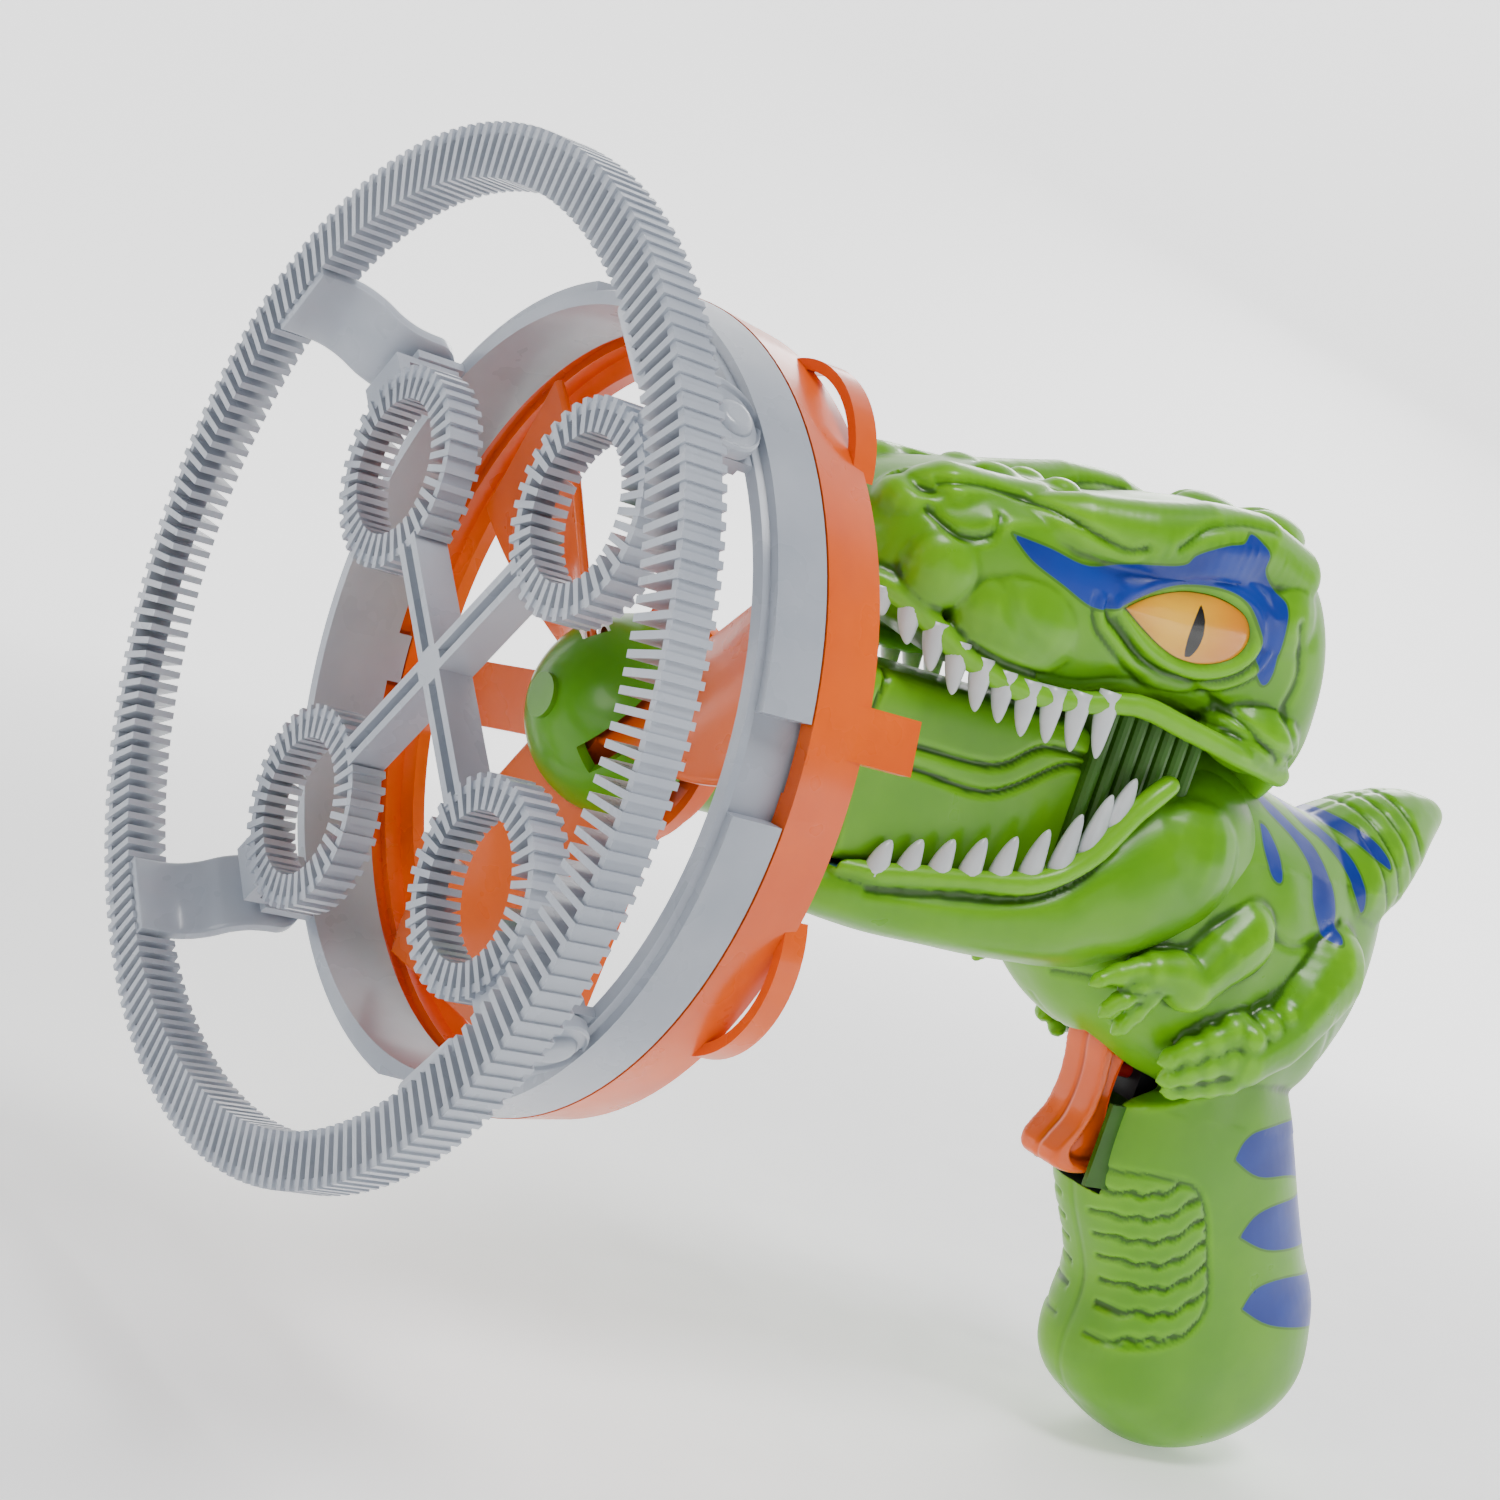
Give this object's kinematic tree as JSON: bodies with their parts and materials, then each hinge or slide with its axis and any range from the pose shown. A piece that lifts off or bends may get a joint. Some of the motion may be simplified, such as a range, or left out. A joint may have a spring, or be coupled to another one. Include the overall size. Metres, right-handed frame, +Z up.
{
  "type": "bubble machine",
  "caption": "Hand-held dinosaur bubble machine: ribbed bubble rings in front of a motor fan in the open mouth, with a pistol grip, trigger and battery door",
  "frame": {"origin": "on the fan's axis, in the plane of the fan shroud's front rim", "axes": "+Z up, -Y the way the bubbles are blown, +X the dinosaur's left side"},
  "size_m": [0.16, 0.2522, 0.1952],
  "materials": {
    "wand_collar": "satin moulded",
    "wand_ring": "satin moulded",
    "wand_arm_1": "satin moulded",
    "wand_arm_2": "satin moulded",
    "wand_arm_3": "satin moulded",
    "wand_arm_4": "satin moulded",
    "arm_rivets": "satin moulded",
    "wand_cross": "satin moulded",
    "fan_shroud": "gloss moulded",
    "fan_impeller": "gloss moulded",
    "trigger": "gloss moulded",
    "fan_spinner": "satin moulded",
    "barrel_upper": "satin moulded",
    "barrel_lower": "satin moulded",
    "head_left": "satin moulded",
    "head_right": "satin moulded",
    "skull_cap": "satin moulded",
    "jaw_left": "satin moulded",
    "jaw_right": "satin moulded",
    "body_left": "satin moulded",
    "body_right": "satin moulded",
    "battery_door": "satin moulded",
    "upper_teeth_left": "satin",
    "upper_teeth_right": "satin",
    "lower_teeth_left": "satin",
    "lower_teeth_right": "satin",
    "eye_left": "painted gloss",
    "eye_right": "painted gloss",
    "motor_shaft": "bright",
    "motor_can": "bright",
    "trigger_pin": "bright",
    "trigger_spring": "bright",
    "motor_screws": "bright",
    "case_screws": "bright",
    "battery_door_screw": "bright",
    "contact_springs": "bright",
    "contact_plates": "bright",
    "motor_armature": "laminated with copper winding",
    "motor_magnets": "sintered ferrite",
    "motor_bush": "sintered",
    "motor_end_cap": "moulded",
    "switch_body": "moulded",
    "battery_tray": "moulded",
    "switch_button": "moulded",
    "battery_1": null,
    "battery_2": null,
    "battery_3": null,
    "wire_red": "soft insulation",
    "wire_black": "soft insulation"
  },
  "bodies": {
    "toy": {"fan_shroud": "fan_shroud", "motor_can": "motor_can", "motor_end_cap": "motor_end_cap", "motor_bush": "motor_bush", "motor_magnets": "motor_magnets", "motor_screws": "motor_screws", "barrel_upper": "barrel_upper", "barrel_lower": "barrel_lower", "head_left": "head_left", "head_right": "head_right", "skull_cap": "skull_cap", "jaw_left": "jaw_left", "jaw_right": "jaw_right", "body_left": "body_left", "body_right": "body_right", "upper_teeth_left": "upper_teeth_left", "upper_teeth_right": "upper_teeth_right", "lower_teeth_left": "lower_teeth_left", "lower_teeth_right": "lower_teeth_right", "eye_left": "eye_left", "eye_right": "eye_right", "case_screws": "case_screws", "trigger_pin": "trigger_pin", "trigger_spring": "trigger_spring", "switch_body": "switch_body", "battery_tray": "battery_tray", "battery_1": "battery_1", "battery_2": "battery_2", "battery_3": "battery_3", "contact_springs": "contact_springs", "contact_plates": "contact_plates", "wire_red": "wire_red", "wire_black": "wire_black"},
    "wand": {"wand_collar": "wand_collar", "wand_ring": "wand_ring", "wand_arm_1": "wand_arm_1", "wand_arm_2": "wand_arm_2", "wand_arm_3": "wand_arm_3", "wand_arm_4": "wand_arm_4", "arm_rivets": "arm_rivets", "wand_cross": "wand_cross"},
    "fan": {"fan_impeller": "fan_impeller", "fan_spinner": "fan_spinner", "motor_shaft": "motor_shaft", "motor_armature": "motor_armature"},
    "trigger_lever": {"trigger": "trigger"},
    "switch_plunger": {"switch_button": "switch_button"},
    "door": {"battery_door": "battery_door", "battery_door_screw": "battery_door_screw"}
  },
  "joints": [
    {"name": "fan_spin", "type": "hinge", "parent": "toy", "child": "fan", "pos_m": [0, 0, 0], "axis": [0, 1, 0], "continuous": true},
    {"name": "wand_pull", "type": "slide", "parent": "toy", "child": "wand", "axis": [0, -1, 0], "range_m": [0, 0.03]},
    {"name": "trigger_pull", "type": "hinge", "parent": "toy", "child": "trigger_lever", "pos_m": [0, 0.139, -0.031], "axis": [1, 0, 0], "range_deg": [0, 12], "stiffness_Nm_per_rad": 0.25, "springref_deg": -11.46, "deforming": ["trigger_spring"]},
    {"name": "switch_press", "type": "slide", "parent": "toy", "child": "switch_plunger", "axis": [0, 1, 0], "range_m": [0, 0.0024]},
    {"name": "door_lift", "type": "slide", "parent": "toy", "child": "door", "axis": [-1, 0, 0], "range_m": [0, 0.03]}
  ],
  "couplings": [
    {"joint": "switch_press", "follows": "trigger_pull", "m_per_rad": 0.0112}
  ]
}
